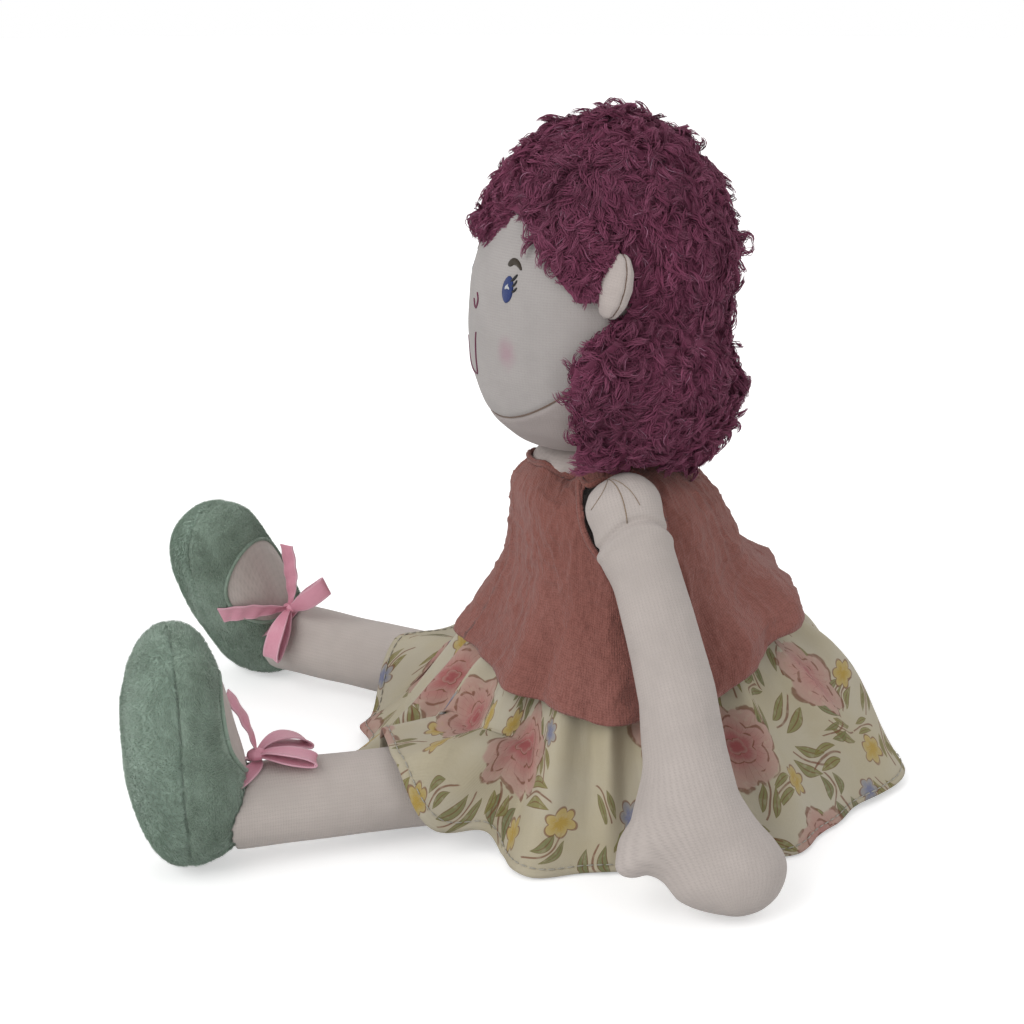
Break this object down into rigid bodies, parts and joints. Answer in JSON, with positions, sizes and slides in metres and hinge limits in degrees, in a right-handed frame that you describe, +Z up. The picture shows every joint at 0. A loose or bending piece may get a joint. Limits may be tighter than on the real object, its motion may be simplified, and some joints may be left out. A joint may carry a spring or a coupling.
{
  "type": "rag doll",
  "caption": "Soft stuffed rag doll with long jointless limbs and curly plush hair, sitting in a gauze top, a flared print skirt and velour shoes tied with ribbon bows.",
  "frame": {"origin": "middle of the flat seat under the torso, at the height of the surface that the doll sits on", "axes": "the doll faces -Y, its left side is +X and +Z is up"},
  "size_m": [0.2502, 0.2748, 0.2376],
  "materials": {
    "jersey_ivory": "fine knitted jersey",
    "jersey_pink": "fine ribbed jersey",
    "plush_plum": "curly plush pile",
    "gauze_rose": "crinkled cotton gauze",
    "cotton_cream": "plain woven cotton with a floral print",
    "velour_sage": "short velour pile",
    "satin_pink": "satin ribbon"
  },
  "bodies": {
    "torso": {"torso": "jersey_ivory", "gauze_top": "gauze_rose", "neck_binding": "gauze_rose", "left_armhole_binding": "gauze_rose", "right_armhole_binding": "gauze_rose", "skirt": "cotton_cream", "skirt_waistband": "cotton_cream"},
    "neck": {"neck": "jersey_ivory"},
    "head": {"head_face": "jersey_ivory", "chin_panel": "jersey_ivory", "left_ear": "jersey_ivory", "right_ear": "jersey_ivory", "hair_crown": "plush_plum", "hair_bob": "plush_plum"},
    "left_shoulder": {"left_shoulder": "jersey_pink"},
    "right_shoulder": {"right_shoulder": "jersey_pink"},
    "left_arm": {"left_arm": "jersey_pink"},
    "right_arm": {"right_arm": "jersey_pink"},
    "left_leg": {"left_leg": "jersey_pink", "left_shoe_sole": "velour_sage", "left_shoe_upper": "velour_sage", "left_instep": "jersey_pink", "left_ribbon_strap": "satin_pink", "left_bow_knot": "satin_pink", "left_bow_loop_1": "satin_pink", "left_bow_loop_2": "satin_pink", "left_bow_tail_1": "satin_pink", "left_bow_tail_2": "satin_pink"},
    "right_leg": {"right_leg": "jersey_pink", "right_shoe_sole": "velour_sage", "right_shoe_upper": "velour_sage", "right_instep": "jersey_pink", "right_ribbon_strap": "satin_pink", "right_bow_knot": "satin_pink", "right_bow_loop_1": "satin_pink", "right_bow_loop_2": "satin_pink", "right_bow_tail_1": "satin_pink", "right_bow_tail_2": "satin_pink"}
  },
  "joints": [
    {"name": "neck_turn", "type": "hinge", "parent": "torso", "child": "neck", "pos_m": [0, -0.005, 0.119], "axis": [0, 0, 1], "range_deg": [-35, 35], "stiffness_Nm_per_rad": 0.03, "deforming": ["neck_binding"]},
    {"name": "head_nod", "type": "hinge", "parent": "neck", "child": "head", "pos_m": [0, -0.005, 0.125], "axis": [1, 0, 0], "range_deg": [-18, 20], "stiffness_Nm_per_rad": 0.12, "deforming": ["neck", "hair_bob"]},
    {"name": "left_arm_swing", "type": "hinge", "parent": "torso", "child": "left_shoulder", "pos_m": [0.037, -0.004, 0.113], "axis": [1, 0, 0], "range_deg": [-110, 40], "deforming": ["left_armhole_binding", "gauze_top"]},
    {"name": "left_arm_lift", "type": "hinge", "parent": "left_shoulder", "child": "left_arm", "pos_m": [0.0403, -0.00313, 0.10807], "axis": [0.0807, -0.9894, -0.1205], "range_deg": [-12, 55], "deforming": ["left_shoulder"]},
    {"name": "right_arm_swing", "type": "hinge", "parent": "torso", "child": "right_shoulder", "pos_m": [-0.037, -0.004, 0.113], "axis": [1, 0, 0], "range_deg": [-110, 40], "deforming": ["right_armhole_binding"]},
    {"name": "right_arm_lift", "type": "hinge", "parent": "right_shoulder", "child": "right_arm", "pos_m": [-0.0403, -0.00313, 0.10807], "axis": [0.0807, 0.9894, 0.1205], "range_deg": [-12, 55], "deforming": ["right_shoulder"]},
    {"name": "left_hip", "type": "hinge", "parent": "torso", "child": "left_leg", "pos_m": [0.027, -0.008, 0.0166], "axis": [0.9949, 0.1011, 0], "range_deg": [-15, 90], "deforming": ["skirt"]},
    {"name": "right_hip", "type": "hinge", "parent": "torso", "child": "right_leg", "pos_m": [-0.027, -0.008, 0.0166], "axis": [0.788, -0.6157, 0], "range_deg": [-15, 90]}
  ]
}
